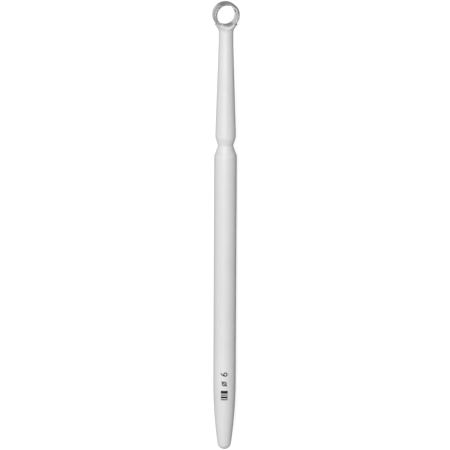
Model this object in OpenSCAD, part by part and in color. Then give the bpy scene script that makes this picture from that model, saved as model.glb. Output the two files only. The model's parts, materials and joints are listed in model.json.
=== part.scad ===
// Inoculating loop of the thick-handled ring type: a bevelled steel ring
// moulded into the flared end of a one-piece plastic stick.
// It lies on a bench along X, on the edge of its ring and on its shank, with the ring
// at +X and the bevelled face of the ring towards -Y.
// The origin is on the bench under the middle of the stick.
// Each sub-part is shaped upright, with the butt at z = 0 and the ring facing -Y,
// and is then laid down.

/* [Stick] */
// Length over everything, from the butt to the crown of the ring
total_h = 140; // [130:1:160]
// Diameter of the straight shank
shank_d = 6.9; // [6.8:0.1:8]
// Distance from the butt at which its long curve has reached the shank diameter
butt_h = 22; // [16:0.5:24]
// Radius of the long curve that narrows the butt
butt_curve_r = 150; // [100:1:180]

/* [Finger groove] */
// Distance from the butt to the bottom of the V groove
groove_z = 95.8; // [80:0.1:100]
// Diameter at the bottom of the groove
groove_d = 4.6; // [4.2:0.1:5.4]
// Half of the groove's width
groove_half_w = 2.4; // [1.5:0.1:3]

/* [Neck] */
// Diameter of the neck just above the groove
neck_base_d = 6.2; // [5.8:0.1:6.6]
// Diameter of the neck under the ring
neck_top_d = 4.4; // [4:0.1:4.8]

/* [Ring] */
// Outer diameter of the steel ring
ring_d = 8; // [7.8:0.1:9]
// Diameter of the hole through the ring
ring_bore_d = 6; // [5.4:0.1:6.2]
// Depth of the ring, along its own axis
ring_depth = 4; // [3.4:0.1:4.4]

/* [Seat] */
// Depth of the flat-sided plastic seat that wraps the foot of the ring
seat_depth = 5; // [5:0.1:5.4]
// Radius of the hollow curve between the neck and the slanted flanks of the seat
flare_r = 2; // [1.5:0.1:2.6]
// Slant of the flanks of the seat against the stick's axis
flare_angle = 35; // [30:1:38]

/* [Stem] */
// Diameter of the steel stem inside the neck
stem_d = 1.2; // [1:0.1:1.4]
// Length of the stem below the ring
stem_h = 9; // [6:0.5:12]

/* [Printed mark] */
// Distance from the butt to the printed size mark
mark_z = 16.4; // [14:0.1:30]
// Width of the printed size mark
mark_w = 2.1; // [1.6:0.1:2.4]
// Turn of the mark round the stick, away from straight in front
mark_turn = 12; // [0:1:20]

/* [Hidden] */
$fn = 96;

shank_r = shank_d / 2;
neck_base_r = neck_base_d / 2;
neck_top_r = neck_top_d / 2;
groove_r = groove_d / 2;
ring_r = ring_d / 2;
bore_r = ring_bore_d / 2;
ring_z = total_h - ring_r;
inner_bevel = 0.35;
mark_line = 0.3;

// Stations up the stick
shoulder_h = 1.2;
groove_low_z = groove_z - groove_half_w;
groove_high_z = groove_z + groove_half_w;
shank_top_z = groove_low_z - shoulder_h;
neck_straight_z = groove_high_z + 2;
neck_slim_z = ring_z - 8.4;
flare_z = ring_z - 5.3;
seat_top_z = ring_z - 2.8;

// Radius of the round butt end that meets the long curve without a corner
tip_r = (2 * butt_curve_r * shank_r - pow(shank_r, 2) - pow(butt_h, 2))
    / (2 * (butt_curve_r - butt_h));
// Angle of the surface where the two curves meet
tip_angle = asin((butt_h - tip_r) / (butt_curve_r - tip_r));

// Stick radius at a height on the butt's long curve
function butt_r(z) = shank_r - butt_curve_r + sqrt(pow(butt_curve_r, 2) - pow(butt_h - z, 2));

// Points of the round end, from the axis outwards, each as [radius, height]
function tip_points(steps) = [
    for (i = [0 : steps])
        let (a = (90 - tip_angle) * i / steps)
        [tip_r * sin(a), tip_r * (1 - cos(a))]
];

// Points of the long curve above the round end
function butt_points(steps) =
    let (z0 = tip_r * (1 - sin(tip_angle)))
    [
        for (i = [1 : steps])
            let (z = z0 + (butt_h - z0) * i / steps)
            [butt_r(z), z]
    ];

// Points of the soft shoulder between the shank and the groove
function shoulder_points(steps) =
    let (drop = shank_r - neck_base_r)
    [
        for (i = [1 : steps])
            let (t = i / steps)
            [shank_r - drop * t * t, shank_top_z + shoulder_h * t]
    ];

// Points of the flare from the neck out to the ring: a hollow curve, then a slanted flank
function flare_points(steps) =
    let (curve_top_r = neck_top_r + flare_r * (1 - cos(flare_angle)))
    let (flank_h = seat_top_z - flare_z - flare_r * sin(flare_angle))
    concat(
        [
            for (i = [0 : steps])
                let (a = flare_angle * i / steps)
                [neck_top_r + flare_r * (1 - cos(a)), flare_z + flare_r * sin(a)]
        ],
        [[curve_top_r + flank_h * tan(flare_angle), seat_top_z]]
    );

// Outline of the butt and shank, out from the axis; skin makes it thicker all round
module grip_outline(skin = 0) {
    curve = concat(tip_points(10), butt_points(12));
    polygon(concat(
        [for (p = curve) [p[0] + (p[1] > 2 ? skin : 0), p[1]]],
        [[shank_r + skin, shank_top_z], [0, shank_top_z]]
    ));
}

// Outline of everything above the shank, out from the axis
module neck_outline() {
    polygon(concat(
        [[0, shank_top_z], [shank_r, shank_top_z]],
        shoulder_points(6),
        [
            [groove_r, groove_z],
            [neck_base_r, groove_high_z],
            [neck_base_r, neck_straight_z],
            [neck_top_r, neck_slim_z]
        ],
        flare_points(10),
        [[0, seat_top_z]]
    ));
}

// Section of the ring, [radius, distance from its middle towards the front]
module ring_section() {
    front = ring_depth / 2;
    front_bevel_h = 1.1;
    crest_w = 0.3;
    back_bevel = 0.3;
    polygon([
        [bore_r, -front],
        [ring_r - back_bevel, -front],
        [ring_r, back_bevel - front],
        [ring_r, front - front_bevel_h],
        [bore_r + inner_bevel + crest_w, front],
        [bore_r + inner_bevel, front],
        [bore_r, front - inner_bevel]
    ]);
}

// Lays the upright stick down on the bench
module laid() {
    translate([-total_h / 2, 0, max(shank_r, ring_r)]) rotate([0, 90, 0]) children();
}

// Stands a shape that was made round the Z axis round the ring's own axis
module on_ring_axis() {
    translate([0, 0, ring_z]) rotate([90, 0, 0]) children();
}

// Everything the ring fills, hole included
module ring_blank() {
    on_ring_axis() rotate_extrude() union() {
        ring_section();
        translate([0, -ring_depth / 2]) square([bore_r + 0.1, ring_depth]);
    }
}

// The stem, with grip grooves that the plastic locks into
module stem_shape() {
    stem_r = stem_d / 2;
    groove_depth = 0.2;
    groove_h = 0.8;
    top = ring_z - ring_r + 0.5;
    bottom = ring_z - ring_r - stem_h;
    difference() {
        translate([0, 0, bottom]) cylinder(r = stem_r, h = top - bottom);
        for (i = [1 : 3])
            translate([0, 0, bottom + 2 * groove_h * i])
                difference() {
                    cylinder(r = stem_r + 1, h = groove_h);
                    cylinder(r = stem_r - groove_depth, h = groove_h);
                }
        on_ring_axis() cylinder(r = ring_r, h = ring_depth + 2, center = true);
    }
}

// One-piece plastic stick: butt, shank, groove, neck and ring seat
module handle() {
    color("gainsboro")
    laid() difference() {
        union() {
            rotate_extrude() grip_outline();
            intersection() {
                rotate_extrude() neck_outline();
                union() {
                    translate([-shank_d, -shank_d, 0]) cube([2 * shank_d, 2 * shank_d, flare_z]);
                    translate([-shank_d, -seat_depth / 2, flare_z - 1])
                        cube([2 * shank_d, seat_depth, total_h - flare_z + 1]);
                }
            }
        }
        ring_blank();
        on_ring_axis() cylinder(r = bore_r + inner_bevel, h = seat_depth + 2, center = true);
        stem_shape();
    }
}

// Short steel tube, bevelled to a narrow crest in front
module loop_ring() {
    color("silver")
    laid() on_ring_axis() rotate_extrude() ring_section();
}

// Hidden steel stem, welded under the ring and locked in the neck
module ring_stem() {
    color("darkgray")
    laid() stem_shape();
}

// A flat round line, its outer radius r
module round_line(r) {
    difference() {
        circle(r = r);
        circle(r = r - mark_line);
    }
}

// A figure six, its bowl round the origin
module figure_six() {
    bowl_r = 0.65;
    hook_r = 1.7;
    hook_reach = 1;
    round_line(bowl_r);
    intersection() {
        translate([hook_r - bowl_r, 0]) round_line(hook_r);
        translate([-bowl_r, 0]) square([hook_reach, hook_r]);
    }
}

// A diameter sign round the origin
module diameter_sign() {
    round_line(0.36 * mark_w);
    rotate(50) square([1.1 * mark_w, 0.8 * mark_line], center = true);
}

// Flat artwork of the size mark, read along +X: four bars, a diameter sign
// and the bore in millimetres
module mark_artwork() {
    bars = [[0, 0.3], [0.6, 0.6], [1.5, 0.3], [2.1, 0.9]];
    for (bar = bars)
        translate([bar[0], -mark_w / 2]) square([bar[1], mark_w]);
    translate([5.2, 0]) diameter_sign();
    translate([8.2, -0.35]) figure_six();
}

// Thin printed ink, wrapped on the front of the stick a little above its middle,
// that reads from the butt to the ring
module size_mark() {
    ink_t = 0.05;
    color("black")
    laid() intersection() {
        rotate([0, 0, -mark_turn]) translate([0, 0, mark_z]) rotate([90, 0, 0])
            linear_extrude(height = shank_d) rotate(90) mark_artwork();
        difference() {
            rotate_extrude() grip_outline(ink_t);
            rotate_extrude() grip_outline();
        }
    }
}

handle();
loop_ring();
ring_stem();
size_mark();
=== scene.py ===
"""Looks of the inoculating loop: a smooth moulded stick, a turned steel ring and printed ink."""

import itertools
import json
import math

import bpy
import numpy as np
from mathutils import Matrix, Vector


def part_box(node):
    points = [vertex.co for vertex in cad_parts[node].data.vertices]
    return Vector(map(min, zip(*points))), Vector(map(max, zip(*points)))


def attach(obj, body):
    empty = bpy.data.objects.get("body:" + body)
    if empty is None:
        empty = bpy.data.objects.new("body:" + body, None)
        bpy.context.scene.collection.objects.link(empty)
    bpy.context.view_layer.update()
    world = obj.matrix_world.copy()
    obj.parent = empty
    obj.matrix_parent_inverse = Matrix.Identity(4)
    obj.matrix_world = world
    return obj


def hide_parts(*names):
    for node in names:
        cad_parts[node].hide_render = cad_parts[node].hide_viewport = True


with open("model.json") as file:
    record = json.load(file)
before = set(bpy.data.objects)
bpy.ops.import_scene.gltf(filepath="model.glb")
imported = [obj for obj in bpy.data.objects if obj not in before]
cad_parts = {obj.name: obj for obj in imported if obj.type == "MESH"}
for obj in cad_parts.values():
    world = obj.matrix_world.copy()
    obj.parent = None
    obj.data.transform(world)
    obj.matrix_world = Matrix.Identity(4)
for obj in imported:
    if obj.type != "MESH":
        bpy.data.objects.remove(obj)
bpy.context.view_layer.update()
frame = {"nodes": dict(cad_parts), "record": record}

MM = 0.001

# Places read from the frame, in millimetres
mounts = {m["name"]: m for m in frame["record"]["mounts"]}
ring_at = Vector(mounts["ring_bore"]["pos_m"]) / MM
bore_r = mounts["ring_bore"]["dims"]["r_mm"]
shank_r = mounts["shank"]["dims"]["r_mm"]
butt_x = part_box("handle")[0].x / MM
crown_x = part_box("loop_ring")[1].x / MM
ring_r = crown_x - ring_at.x
axis_h = ring_at.z
ring_s = ring_at.x - butt_x

# Below, s is a distance from the butt along the stick, and all lengths are in millimetres

# Butt: a round end that runs into a long curve, which reaches the shank's width at curve_end
curve_end = 22.0
curve_r = 150.0
tip_r = (2 * curve_r * shank_r - shank_r**2 - curve_end**2) / (2 * (curve_r - curve_end))
tip_angle = math.asin((curve_end - tip_r) / (curve_r - tip_r))
tip_end = tip_r * (1 - math.sin(tip_angle))

# Finger groove, with the soft shoulder below it
groove_s = 95.8
groove_r = 2.3
groove_half_w = 2.4
shoulder_h = 1.2
groove_low = groove_s - groove_half_w
groove_high = groove_s + groove_half_w
shoulder_s = groove_low - shoulder_h

# Neck: straight up to neck_straight, then tapering to neck_slim
neck_base_r = 3.1
neck_r = 2.2
neck_straight = groove_high + 2.0
neck_slim = ring_s - 8.4

# Ring section, measured from the middle of the ring's depth
ring_half = 2.0
inner_bevel = 0.35
crest_w = 0.3
back_bevel = 0.3
front_bevel_h = 1.1
front_bevel_w = 0.35
crest_in_r = bore_r + inner_bevel
crest_out_r = crest_in_r + crest_w

# Flare: a hollow curve and a slanted flank, cut off flat at both sides of the seat and at its top
flare_s = ring_s - 5.3
seat_top = ring_s - 2.8
flare_r = 2.0
flare_angle = math.radians(35)
seat_half = 2.5

# Radii that the mould and the turning tool leave on edges
ring_edge_r = 0.045
seat_side_edge_r = 0.14
seat_top_edge_r = 0.16
seat_ring_edge_r = 0.07
groove_ease = 0.32

# How finely the meshes are made
RING_TURNS = 288
EDGE_STEPS = 5
TIP_STEPS = 22
SEAT_CELL = 0.075
FIT_ROUNDS = 8

# Studio, in metres
WORLD_LEVEL = 0.43
FLOOR_GLOW = 0.78
FLOOR_BOUNCE = 0.42
FLOOR_RADII = (0.05, 0.1, 0.2, 0.4, 0.8, 1.2, 1.6)
BOWL_BEND_R = 0.9
BOWL_STEPS = 12
FLOOR_TURNS = 96
KEY_AT = (0.3, -1.25, 0.5)
KEY_SIZE = (0.9, 0.9)
KEY_POWER = 16.0
BACK_AT = (0.1, 1.45, 0.29)
BACK_SIZE = (0.8, 0.43)
BACK_POWER = 0.75

# Camera: square to the ring's face but for a lean towards the ring's end and one upwards
CAMERA_LEAN_TO_RING = math.radians(12)
CAMERA_LEAN_UP = math.radians(11)
CAMERA_ROLL = math.radians(0.26)
CAMERA_AWAY = 1.1485
CAMERA_LENS = 300
CAMERA_AIM = Vector((0.00095, 0, axis_h * MM + 0.00005))


# ---------------------------------------------------------------- mesh helpers


def place(s, side, depth):
    """A point of the stick, at s, up to its side and out to its front, in the row frame."""
    return (butt_x + s, -depth, axis_h + side)


def facing(s, side, depth):
    """A direction on the stick, in the row frame."""
    return (s, -depth, side)


def mesh_object(name, verts_mm, faces, normals=None):
    """A smooth object from points in millimetres of the row frame."""
    mesh = bpy.data.meshes.new(name)
    mesh.from_pydata([tuple(float(c) * MM for c in v) for v in verts_mm], [], faces)
    mesh.validate()
    mesh.update()
    mesh.shade_smooth()
    if normals is not None:
        mesh.normals_split_custom_set_from_vertices([tuple(float(c) for c in n) for n in normals])
    obj = bpy.data.objects.new(name, mesh)
    bpy.context.scene.collection.objects.link(obj)
    return obj


def rounded_loop(corners, radius, steps):
    """A closed anticlockwise outline with its corners rounded, as [(point, outward normal)]."""
    out = []
    count = len(corners)
    for i in range(count):
        here = Vector(corners[i])
        before = (here - Vector(corners[i - 1])).normalized()
        after = (Vector(corners[(i + 1) % count]) - here).normalized()
        bend = before.angle_signed(after) * -1
        reach = radius * math.tan(abs(bend) / 2)
        normal = Vector((before.y, -before.x))
        centre = here - before * reach - normal * radius
        for k in range(steps + 1):
            c, s = math.cos(bend * k / steps), math.sin(bend * k / steps)
            n = Vector((normal.x * c - normal.y * s, normal.x * s + normal.y * c))
            out.append((centre + n * radius, n))
    return out


# ---------------------------------------------------------------- the ring


def ring_section():
    """Corners of the ring's section, each as (radius, distance towards the front), anticlockwise."""
    return [
        (bore_r, -ring_half),
        (ring_r - back_bevel, -ring_half),
        (ring_r, back_bevel - ring_half),
        (ring_r, ring_half - front_bevel_h),
        (crest_out_r, ring_half),
        (crest_in_r, ring_half),
        (bore_r, ring_half - inner_bevel),
    ]


def make_ring():
    """The steel ring, turned round its own axis, with its edges just broken."""
    loop = rounded_loop(ring_section(), ring_edge_r, EDGE_STEPS)
    m = len(loop)
    verts = []
    normals = []
    faces = []
    for i in range(RING_TURNS):
        a = 2 * math.pi * i / RING_TURNS
        c, s = math.cos(a), math.sin(a)
        for p, n in loop:
            verts.append(place(ring_s + p.x * c, p.x * s, p.y))
            normals.append(facing(n.x * c, n.x * s, n.y))
        j = (i + 1) % RING_TURNS
        for k in range(m):
            q = (k + 1) % m
            faces.append((i * m + k, j * m + k, j * m + q, i * m + q))
    return mesh_object("ring_turned", verts, faces, normals)


# ---------------------------------------------------------------- the turned part of the stick


def between(s, start, end, r_start, r_end):
    """The radius at s on a straight flank."""
    return r_start + (r_end - r_start) * (s - start) / (end - start)


def stick_radius(s):
    """Radius of the stick at s, before any corner is eased."""
    if s < tip_end:
        return math.sqrt(max(0.0, tip_r**2 - (tip_r - s) ** 2))
    if s < curve_end:
        return shank_r - curve_r + math.sqrt(curve_r**2 - (curve_end - s) ** 2)
    if s < shoulder_s:
        return shank_r
    if s < groove_low:
        return shank_r - (shank_r - neck_base_r) * ((s - shoulder_s) / shoulder_h) ** 2
    if s < groove_s:
        return between(s, groove_low, groove_s, neck_base_r, groove_r)
    if s < groove_high:
        return between(s, groove_s, groove_high, groove_r, neck_base_r)
    if s < neck_straight:
        return neck_base_r
    if s < neck_slim:
        return between(s, neck_straight, neck_slim, neck_base_r, neck_r)
    return neck_r


def eased_radius(s, samples=17):
    """The radius with the groove's corners eased, as a mould leaves them."""
    if s < shoulder_s - groove_ease or s > neck_slim + 1:
        return stick_radius(s)
    offsets = [groove_ease * (2 * k / (samples - 1) - 1) for k in range(samples)]
    return sum(stick_radius(s + o) for o in offsets) / samples


def tip_stations():
    """Stations on the round end, from just above its pole."""
    out = []
    for i in range(1, TIP_STEPS + 1):
        a = (math.pi / 2 - tip_angle) * i / TIP_STEPS
        out.append((tip_r * (1 - math.cos(a)), tip_r * math.sin(a), math.cos(a) / math.sin(a)))
    return out


def stick_stations(end):
    """Stations up the stick from just above the pole to end, each as (s, radius, slope)."""
    butt_step, shank_step, groove_step, neck_step = 0.7, 2.4, 0.09, 0.8
    groove_from, groove_to = shoulder_s - 0.3, neck_straight + 0.5
    gap = 0.1
    out = tip_stations()
    places = np.concatenate(
        [
            np.arange(out[-1][0] + butt_step, curve_end, butt_step),
            np.arange(curve_end, groove_from - gap, shank_step),
            np.arange(groove_from, groove_to, groove_step),
            np.arange(groove_to + gap, end - 2 * gap, neck_step),
        ]
    )
    reach = 0.01
    for s in places:
        slope = (eased_radius(s + reach) - eased_radius(s - reach)) / (2 * reach)
        out.append((s, eased_radius(s), slope))
    return out


# ---------------------------------------------------------------- the ring's seat


def smooth_max(a, b, r):
    """What lies inside both shapes, with the edge where they meet rounded to radius r."""
    return np.minimum(-r, np.maximum(a, b)) + np.hypot(np.maximum(a + r, 0), np.maximum(b + r, 0))


def neck_field(s, y, d):
    """Signed distance to the top of the neck and the flare above it, both round."""
    rho = np.hypot(y, d)
    up, out = s - flare_s, neck_r + flare_r - rho
    curve = flare_r - np.hypot(out, up)
    flank = flare_r - out * math.cos(flare_angle) - up * math.sin(flare_angle)
    flare = np.where(up < out * math.tan(flare_angle), curve, flank)
    return np.where(up < 0, rho - neck_r, flare)


def ring_field(s, y, d):
    """Signed distance to the space that the ring takes up, its hole included."""
    q = np.hypot(y, s - ring_s)
    front = front_bevel_h * (q - ring_r) + front_bevel_w * (d - ring_half + front_bevel_h)
    front /= math.hypot(front_bevel_h, front_bevel_w)
    back = (q - ring_r - d - ring_half + back_bevel) / math.sqrt(2)
    ring = np.maximum.reduce([q - ring_r, front, back, np.abs(d) - ring_half])
    return np.minimum(ring, q - crest_in_r)


def seat_field(s, y, d):
    """Signed distance to the top of the neck and the flat-sided seat, with room for the ring."""
    body = smooth_max(neck_field(s, y, d), np.abs(d) - seat_half, seat_side_edge_r)
    body = smooth_max(body, s - seat_top, seat_top_edge_r)
    return smooth_max(body, -ring_field(s, y, d), seat_ring_edge_r)


def seat_gradient(p):
    """The direction at each point in which the distance grows."""
    e = 0.004
    g = np.empty_like(p)
    for k in range(3):
        step = np.zeros(3)
        step[k] = e
        g[:, k] = (seat_field(*(p + step).T) - seat_field(*(p - step).T)) / (2 * e)
    return g


def unit(rows):
    """Rows of a matrix, each made one long."""
    return rows / np.maximum(np.linalg.norm(rows, axis=1), 1e-6)[:, None]


def corner_of_cells(corner, size):
    """The part of the grid that holds one and the same corner of every cell."""
    return tuple(slice(corner[k], corner[k] + size[k]) for k in range(3))


def cell_crossings(field, inside, size):
    """For each cell, how many of its edges the surface crosses and the sum of the places."""
    total = np.zeros([*size, 3])
    hits = np.zeros(size)
    for corner, axis in itertools.product(itertools.product((0, 1), repeat=3), range(3)):
        if corner[axis]:
            continue
        other = list(corner)
        other[axis] = 1
        a, b = corner_of_cells(corner, size), corner_of_cells(other, size)
        cross = inside[a] != inside[b]
        part = np.where(cross, field[a] / np.where(cross, field[a] - field[b], 1), 0)
        for k in range(3):
            total[..., k] += np.where(cross, corner[k] + (part if k == axis else 0), 0)
        hits += cross
    return total, hits


def cell_quads(inside, index):
    """A face for every grid edge that the surface crosses, joining the four cells round it."""
    quads = []
    for axis in range(3):
        u, v = (axis + 1) % 3, (axis + 2) % 3
        cross = np.diff(inside.astype(int), axis=axis) != 0
        for edge in np.argwhere(cross):
            if min(edge[u], edge[v]) == 0 or edge[u] >= index.shape[u] or edge[v] >= index.shape[v]:
                continue
            around = []
            for du, dv in ((-1, -1), (0, -1), (0, 0), (-1, 0)):
                cell = edge.copy()
                cell[u] += du
                cell[v] += dv
                around.append(int(index[tuple(cell)]))
            if not inside[tuple(edge)]:
                around.reverse()
            quads.append(tuple(around))
    return quads


def seat_mesh():
    """The seat and the neck's top: points in (s, side, depth), faces, and its open lower rim."""
    margin = 3 * SEAT_CELL
    rim_drop = 1.3
    low_corner = np.array([flare_s - rim_drop, -ring_r - margin, -seat_half - margin])
    high_corner = np.array([seat_top + margin, ring_r + margin, seat_half + margin])
    count = np.ceil((high_corner - low_corner) / SEAT_CELL).astype(int) + 1
    axes = [low_corner[k] + SEAT_CELL * np.arange(count[k]) for k in range(3)]
    field = seat_field(*np.meshgrid(*axes, indexing="ij"))
    inside = field < 0
    size = tuple(int(m) - 1 for m in count)
    total, hits = cell_crossings(field, inside, size)
    used = hits > 0
    index = -np.ones(size, int)
    index[used] = np.arange(used.sum())
    points = low_corner + SEAT_CELL * (np.argwhere(used) + total[used] / hits[used][:, None])

    rim = [int(x) for x in index[0][index[0] >= 0]]
    free = np.ones(len(points), bool)
    free[rim] = False
    for _ in range(FIT_ROUNDS):
        off = np.clip(seat_field(*points.T), -SEAT_CELL, SEAT_CELL)[:, None]
        points -= off * unit(seat_gradient(points)) * free[:, None]
    rim_s = low_corner[0] + SEAT_CELL / 2
    rim_r = np.hypot(points[rim, 1], points[rim, 2])
    points[rim, 1:] *= (neck_r / rim_r)[:, None]
    points[rim, 0] = rim_s
    rim.sort(key=lambda v: math.atan2(points[v][2], points[v][1]))
    return points, cell_quads(inside, index), rim, rim_s


def make_stick():
    """The one-piece stick: the seat's shape comes from its distance field, and the rest is turned."""
    points, faces, rim, rim_s = seat_mesh()
    grads = unit(seat_gradient(points))
    grads[rim] = points[rim] * [0, 1 / neck_r, 1 / neck_r]
    verts = [tuple(p) for p in points]
    normals = [tuple(g) for g in grads]
    angles = [math.atan2(points[v][2], points[v][1]) for v in rim]
    m = len(angles)
    above = rim
    for s, r, slope in reversed(stick_stations(rim_s)):
        here = list(range(len(verts), len(verts) + m))
        k = 1 / math.hypot(1, slope)
        for a in angles:
            c, w = math.cos(a), math.sin(a)
            verts.append((s, r * c, r * w))
            normals.append((-slope * k, c * k, w * k))
        for i in range(m):
            j = (i + 1) % m
            faces.append((here[i], here[j], above[j], above[i]))
        above = here
    pole = len(verts)
    verts.append((0, 0, 0))
    normals.append((-1, 0, 0))
    for i in range(m):
        faces.append((pole, above[(i + 1) % m], above[i]))
    return mesh_object("stick_moulded", [place(*v) for v in verts], faces, [facing(*n) for n in normals])


# ---------------------------------------------------------------- materials


# The range that most of a noise's values lie in
NOISE_SPAN = (0.3, 0.7)


class Nodes:
    """A short way to write a material's nodes. Noise scales are in waves per metre."""

    def __init__(self, name):
        self.material = bpy.data.materials.new(name)
        self.material.use_nodes = True
        self.tree = self.material.node_tree
        self.tree.nodes.clear()
        self.shader = self.tree.nodes.new("ShaderNodeBsdfPrincipled")
        self.out = self.tree.nodes.new("ShaderNodeOutputMaterial")
        self.link(self.shader.outputs[0], self.out.inputs["Surface"])
        self.coords = self.tree.nodes.new("ShaderNodeTexCoord").outputs["Object"]

    def link(self, a, b):
        self.tree.links.new(a, b)

    def put(self, socket, value):
        if isinstance(value, bpy.types.NodeSocket):
            self.link(value, socket)
        else:
            socket.default_value = value

    def put_all(self, node, values):
        for i, value in enumerate(values):
            self.put(node.inputs[i], value)
        return node.outputs[0]

    def math(self, operation, *values):
        node = self.tree.nodes.new("ShaderNodeMath")
        node.operation = operation
        return self.put_all(node, values)

    def split(self, vector):
        node = self.tree.nodes.new("ShaderNodeSeparateXYZ")
        self.link(vector, node.inputs[0])
        return node.outputs

    def join(self, x, y, z):
        return self.put_all(self.tree.nodes.new("ShaderNodeCombineXYZ"), (x, y, z))

    def noise(self, scale, detail=2.0, rough=0.5, vector=None, stretch=(1, 1, 1)):
        scaled = self.tree.nodes.new("ShaderNodeVectorMath")
        scaled.operation = "MULTIPLY"
        self.link(vector or self.coords, scaled.inputs[0])
        scaled.inputs[1].default_value = stretch
        node = self.tree.nodes.new("ShaderNodeTexNoise")
        self.link(scaled.outputs[0], node.inputs["Vector"])
        node.inputs["Scale"].default_value = scale
        node.inputs["Detail"].default_value = detail
        node.inputs["Roughness"].default_value = rough
        return node.outputs["Fac"]

    def blend(self, a, b, share):
        """Two values mixed, with the given share of the second one."""
        return self.math("ADD", self.math("MULTIPLY", a, 1 - share), self.math("MULTIPLY", b, share))

    def ramp(self, value, low, high, span=NOISE_SPAN):
        """Colours from low to high, while the value goes through the span."""
        node = self.tree.nodes.new("ShaderNodeValToRGB")
        self.link(value, node.inputs[0])
        for element, at, rgb in zip(node.color_ramp.elements, span, (low, high)):
            element.position = at
            element.color = (*rgb, 1)
        return node.outputs[0]

    def spread(self, value, low, high, out_low, out_high):
        """The value's range from low to high, mapped to another range."""
        return self.put_all(self.tree.nodes.new("ShaderNodeMapRange"), (value, low, high, out_low, out_high))

    def bump(self, height, distance, normal=None):
        node = self.tree.nodes.new("ShaderNodeBump")
        node.inputs["Strength"].default_value = 1.0
        node.inputs["Distance"].default_value = distance
        self.link(height, node.inputs["Height"])
        if normal is not None:
            self.link(normal, node.inputs["Normal"])
        return node.outputs[0]

    def set(self, **values):
        for name, value in values.items():
            self.put(self.shader.inputs[name.replace("_", " ")], value)


def grey(level):
    return (level, level, level)


def plastic():
    """Light grey moulded plastic: satin, a little translucent, with a fine grain and a parting line."""
    tone_low, tone_high = 0.7, 0.745
    rough_low, rough_high = 0.36, 0.46
    grain_h = 0.000004
    seam_h = 0.000008
    seam_half_w = 0.00006
    n = Nodes("handle_plastic")
    cloud = n.noise(scale=60, detail=3)
    speck = n.noise(scale=2600)
    n.set(Base_Color=n.ramp(n.blend(cloud, speck, share=0.25), grey(tone_low), grey(tone_high)))
    n.set(Roughness=n.spread(n.noise(scale=420, detail=3), *NOISE_SPAN, rough_low, rough_high))
    grain = n.bump(n.noise(scale=5200, detail=3, rough=0.6), grain_h)
    off_seam = n.math("ABSOLUTE", n.split(n.coords)[1])
    seam = n.spread(off_seam, 0.0, seam_half_w, 1.0, 0.0)
    n.set(Normal=n.bump(seam, seam_h, grain))
    n.set(IOR=1.49, Subsurface_Weight=0.12, Subsurface_Scale=0.001, Subsurface_Radius=grey(1.2))
    return n.material


def steel(n, tone, lines, rough_low, rough_high):
    """Fills in stainless steel with the given fine lines in it, and gives back its roughness."""
    darkest, lightest = 0.86, 1.1
    line_h = 0.0000012
    mix = n.blend(lines, n.noise(scale=900, detail=3), share=0.3)
    n.set(Base_Color=n.ramp(mix, tuple(t * darkest for t in tone), tuple(t * lightest for t in tone)))
    n.set(Metallic=1.0, Normal=n.bump(lines, line_h))
    return n.spread(mix, *NOISE_SPAN, rough_low, rough_high)


def ring_steel():
    """Turned steel: finest on the crest, duller on the inner bevel and towards the outer wall."""
    tone = (0.85, 0.85, 0.86)
    line_scale = 26000.0
    around_scale = 1.5
    inner_extra, outer_extra = 0.14, 0.22
    fade_from, fade_to = crest_in_r - 0.02, crest_in_r + 0.05
    n = Nodes("ring_steel")
    x, y, z = n.split(n.coords)
    dx = n.math("SUBTRACT", x, ring_at.x * MM)
    dz = n.math("SUBTRACT", z, ring_at.z * MM)
    radius = n.math("SQRT", n.math("ADD", n.math("MULTIPLY", dx, dx), n.math("MULTIPLY", dz, dz)))
    across = n.math("MULTIPLY", radius, line_scale)
    along = n.math("MULTIPLY", y, line_scale)
    around = n.math("MULTIPLY", n.math("ARCTAN2", dz, dx), around_scale)
    lines = n.noise(scale=1, vector=n.join(across, along, around))
    rough = steel(n, tone, lines, rough_low=0.15, rough_high=0.25)
    inner = n.spread(radius, fade_from * MM, fade_to * MM, inner_extra, 0.0)
    outer = n.spread(radius, crest_out_r * MM, ring_r * MM, 0.0, outer_extra)
    n.set(Roughness=n.math("ADD", n.math("ADD", rough, inner), outer))
    return n.material


def stem_steel():
    """Plain drawn wire, its lines along the stick."""
    tone = (0.5, 0.5, 0.51)
    n = Nodes("stem_steel")
    lines = n.noise(scale=900, stretch=(0.2, 8, 8))
    n.set(Roughness=steel(n, tone, lines, rough_low=0.3, rough_high=0.42))
    return n.material


def ink():
    """Flat black pad-printed ink, a little uneven in cover and gloss."""
    thick, thin = (0.006, 0.006, 0.006), (0.022, 0.022, 0.023)
    rough_low, rough_high = 0.42, 0.6
    grain_h = 0.000003
    n = Nodes("mark_ink")
    cover = n.noise(scale=3000, detail=3, rough=0.6)
    n.set(Base_Color=n.ramp(cover, thick, thin, span=(0.35, 0.8)))
    n.set(Roughness=n.spread(cover, *NOISE_SPAN, rough_low, rough_high), Specular_IOR_Level=0.25)
    n.set(Normal=n.bump(n.noise(scale=7000), grain_h))
    return n.material


def floor_material():
    """A white lit board to the eye, which throws only a little light back at the object."""
    tone_low, tone_high = 0.5, 0.53
    n = Nodes("studio_floor")
    n.set(Base_Color=n.ramp(n.noise(scale=6, detail=3), grey(tone_low), grey(tone_high)))
    n.set(Roughness=0.75, Specular_IOR_Level=0.2, Emission_Strength=FLOOR_GLOW)
    n.set(Emission_Color=(1, 1, 1, 1))
    dull = n.tree.nodes.new("ShaderNodeBsdfDiffuse")
    dull.inputs["Color"].default_value = (*grey(FLOOR_BOUNCE), 1)
    eye = n.tree.nodes.new("ShaderNodeLightPath").outputs["Is Camera Ray"]
    seen = n.put_all(n.tree.nodes.new("ShaderNodeMixShader"), (eye, dull.outputs[0], n.shader.outputs[0]))
    n.link(seen, n.out.inputs["Surface"])
    return n.material


# ---------------------------------------------------------------- the stage


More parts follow.
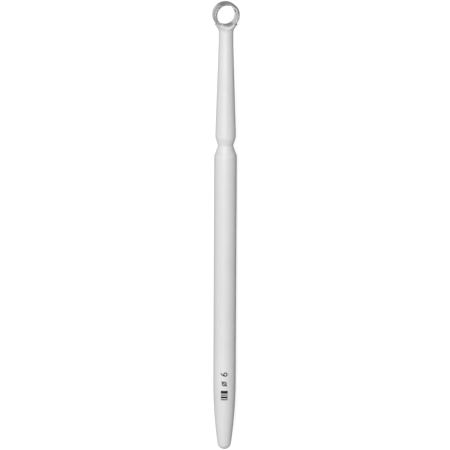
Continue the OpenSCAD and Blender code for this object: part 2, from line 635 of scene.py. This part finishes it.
def make_floor():
    """A white board that turns up all round into a pale bowl."""
    rows = [(r, 0.0) for r in FLOOR_RADII]
    for i in range(1, BOWL_STEPS + 1):
        a = math.pi / 2 * i / BOWL_STEPS
        rows.append((FLOOR_RADII[-1] + BOWL_BEND_R * math.sin(a), BOWL_BEND_R * (1 - math.cos(a))))
    verts = [(0, 0, 0)]
    faces = []
    for k, (r, h) in enumerate(rows):
        first = 1 + k * FLOOR_TURNS
        inner = first - FLOOR_TURNS
        for i in range(FLOOR_TURNS):
            j = (i + 1) % FLOOR_TURNS
            a = 2 * math.pi * i / FLOOR_TURNS
            verts.append((r * math.cos(a) / MM, r * math.sin(a) / MM, h / MM))
            if k == 0:
                faces.append((0, first + i, first + j))
            else:
                faces.append((inner + i, first + i, first + j, inner + j))
    floor = mesh_object("studio_floor", verts, faces)
    floor.data.materials.append(floor_material())


def area_light(name, at, size, power):
    """A soft rectangular light, aimed at the middle of the stick and unseen by the camera."""
    light = bpy.data.lights.new(name, "AREA")
    light.shape = "RECTANGLE"
    light.size, light.size_y = size
    light.energy = power
    obj = bpy.data.objects.new(name, light)
    obj.location = at
    obj.visible_camera = False
    obj.rotation_euler = (-Vector(at)).to_track_quat("-Z", "Y").to_euler()
    bpy.context.scene.collection.objects.link(obj)


def make_world(level):
    world = bpy.data.worlds.new("studio")
    bpy.context.scene.world = world
    world.use_nodes = True
    back = world.node_tree.nodes["Background"]
    back.inputs["Color"].default_value = (1, 1, 1, 1)
    back.inputs["Strength"].default_value = level


def make_camera():
    """Nearly square to the ring's face, with the ring at the top of the picture, through a long lens."""
    side = math.cos(CAMERA_LEAN_TO_RING)
    away = Vector(
        (
            math.sin(CAMERA_LEAN_TO_RING),
            -math.cos(CAMERA_LEAN_UP) * side,
            math.sin(CAMERA_LEAN_UP) * side,
        )
    )
    right = Vector((1, 0, 0)).cross(away).normalized()
    basis = Matrix((right, away.cross(right), away)).transposed() @ Matrix.Rotation(CAMERA_ROLL, 3, "Z")
    camera = bpy.data.cameras.new("camera")
    camera.lens = CAMERA_LENS
    camera.clip_start = 0.05
    camera.clip_end = 20
    obj = bpy.data.objects.new("camera", camera)
    obj.matrix_world = Matrix.Translation(CAMERA_AIM + away * CAMERA_AWAY) @ basis.to_4x4()
    bpy.context.scene.collection.objects.link(obj)
    bpy.context.scene.camera = obj


# ---------------------------------------------------------------- the build

stick = make_stick()
stick.data.materials.append(plastic())
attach(stick, "root")
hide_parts("handle")

ring = make_ring()
ring.data.materials.append(ring_steel())
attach(ring, "root")
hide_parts("loop_ring")

for name, material in (("ring_stem", stem_steel()), ("size_mark", ink())):
    kept = frame["nodes"][name]
    kept.data.materials.clear()
    kept.data.materials.append(material)

make_floor()
make_world(WORLD_LEVEL)
area_light("key", KEY_AT, KEY_SIZE, KEY_POWER)
area_light("back", BACK_AT, BACK_SIZE, BACK_POWER)
make_camera()
bpy.context.scene.view_settings.view_transform = "Standard"
